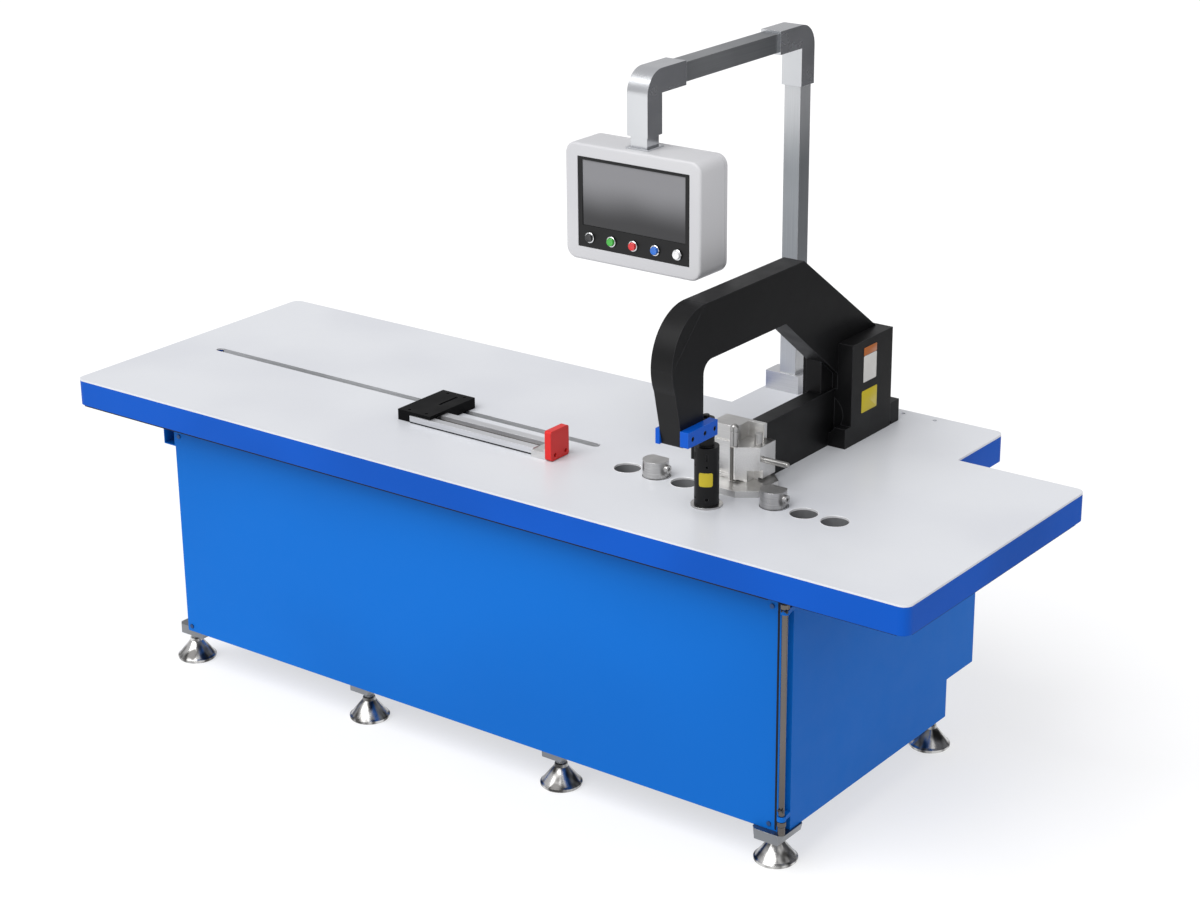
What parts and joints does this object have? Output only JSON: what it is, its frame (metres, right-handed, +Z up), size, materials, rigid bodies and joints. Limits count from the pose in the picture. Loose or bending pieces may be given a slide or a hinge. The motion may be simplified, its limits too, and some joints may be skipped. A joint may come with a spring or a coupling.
{
  "type": "busbar bending machine",
  "caption": "Worktable on a sheet-metal cabinet with a C-shaped press frame, a horizontal ram with dies, a back gauge in a table slot and a control panel on a swivelling arm.",
  "frame": {"origin": "middle of the footprint, on the floor under the levelling feet", "axes": "+X along the table towards its right end, +Y towards the rear, +Z up"},
  "size_m": [2.715, 1.1262, 1.862],
  "materials": {
    "table_white": "satin",
    "blue_paint": "semi-gloss",
    "black_paint": "satin",
    "red_paint": "satin",
    "motor_paint": "satin",
    "box_paint": "satin",
    "panel_paint": "satin",
    "steel": "ground",
    "dark_steel": "blackened",
    "zinc": "zinc plated",
    "hard_chrome": "polished",
    "alloy": "brushed",
    "bezel_black": "matt",
    "screen": "gloss",
    "button_black": "matt",
    "button_green": "gloss",
    "button_red": "gloss",
    "button_blue": "gloss",
    "button_white": "gloss"
  },
  "bodies": {
    "machine": {"table_top": "table_white", "table_skirt": "blue_paint", "bed_plate": "steel", "table_ribs": "dark_steel", "cabinet_frame": "blue_paint", "front_panel": "blue_paint", "left_panel": "blue_paint", "rear_panel": "blue_paint", "bottom_tray": "zinc", "panel_screws": "zinc", "foot_stems": "zinc", "foot_pads": "hard_chrome", "door_hinge": "zinc", "gauge_bed": "dark_steel", "gauge_rails": "steel", "gauge_bearings": "dark_steel", "gauge_motor": "dark_steel", "c_frame": "black_paint", "yoke": "black_paint", "rear_block": "black_paint", "ram_housing": "black_paint", "die_base": "steel", "centre_post": "black_paint", "post_ring": "steel", "clamp_bars": "blue_paint", "head_screws": "dark_steel", "die_inserts": "steel", "hydraulic_tank": "box_paint", "pump_motor": "motor_paint", "valve_block": "steel", "hydraulic_lines": "zinc", "electrical_box": "box_paint", "column_base": "alloy"},
    "end_door": {"end_door": "blue_paint"},
    "gauge_screw": {"gauge_screw": "steel"},
    "gauge_carriage": {"gauge_nut": "steel", "gauge_blocks": "steel", "gauge_saddle": "dark_steel", "gauge_carriage": "black_paint", "gauge_arm": "alloy", "gauge_end_block": "steel", "gauge_stop": "red_paint"},
    "ram": {"ram_bar": "steel", "piston": "hard_chrome", "die_block": "steel", "die_cradle": "steel", "die_pins": "hard_chrome"},
    "lock_pin": {"lock_pin": "hard_chrome"},
    "arm": {"column": "alloy", "arm_elbows": "alloy", "arm_tube_top": "alloy", "drop_tube": "alloy"},
    "panel": {"panel_housing": "panel_paint", "panel_bezel": "bezel_black", "panel_screen": "screen"},
    "button_black": {"button_black": "button_black"},
    "button_green": {"button_green": "button_green"},
    "button_red": {"button_red": "button_red"},
    "button_blue": {"button_blue": "button_blue"},
    "button_white": {"button_white": "button_white"}
  },
  "joints": [
    {"name": "ram_slide", "type": "slide", "parent": "machine", "child": "ram", "axis": [0, -1, 0], "range_m": [0, 0.09]},
    {"name": "lock_pin_pull", "type": "slide", "parent": "ram", "child": "lock_pin", "axis": [1, 0, 0], "range_m": [0, 0.025]},
    {"name": "gauge_slide", "type": "slide", "parent": "machine", "child": "gauge_carriage", "axis": [1, 0, 0], "range_m": [-0.8, 0.21]},
    {"name": "screw_spin", "type": "hinge", "parent": "machine", "child": "gauge_screw", "pos_m": [-0.3305, -0.1401, 0.702], "axis": [1, 0, 0], "range_deg": [-14410, 3790]},
    {"name": "end_door_swing", "type": "hinge", "parent": "machine", "child": "end_door", "pos_m": [0.9975, -0.5071, 0.45], "axis": [0, 0, 1], "range_deg": [-110, 0]},
    {"name": "arm_swivel", "type": "hinge", "parent": "machine", "child": "arm", "pos_m": [0.3465, 0.5291, 0.888], "axis": [0, 0, 1], "range_deg": [-90, 3]},
    {"name": "panel_swivel", "type": "hinge", "parent": "arm", "child": "panel", "pos_m": [0.3465, -0.1659, 1.665], "axis": [0, 0, 1], "range_deg": [-60, 60]},
    {"name": "press_button_black", "type": "slide", "parent": "panel", "child": "button_black", "axis": [0, 1, 0], "range_m": [0, 0.004], "stiffness_N_per_m": 400, "springref_m": -0.003},
    {"name": "press_button_green", "type": "slide", "parent": "panel", "child": "button_green", "axis": [0, 1, 0], "range_m": [0, 0.004], "stiffness_N_per_m": 400, "springref_m": -0.003},
    {"name": "press_button_red", "type": "slide", "parent": "panel", "child": "button_red", "axis": [0, 1, 0], "range_m": [0, 0.004], "stiffness_N_per_m": 400, "springref_m": -0.003},
    {"name": "press_button_blue", "type": "slide", "parent": "panel", "child": "button_blue", "axis": [0, 1, 0], "range_m": [0, 0.004], "stiffness_N_per_m": 400, "springref_m": -0.003},
    {"name": "press_button_white", "type": "slide", "parent": "panel", "child": "button_white", "axis": [0, 1, 0], "range_m": [0, 0.004], "stiffness_N_per_m": 400, "springref_m": -0.003}
  ],
  "couplings": [
    {"joint": "screw_spin", "follows": "gauge_slide", "rad_per_m": 314.16}
  ]
}
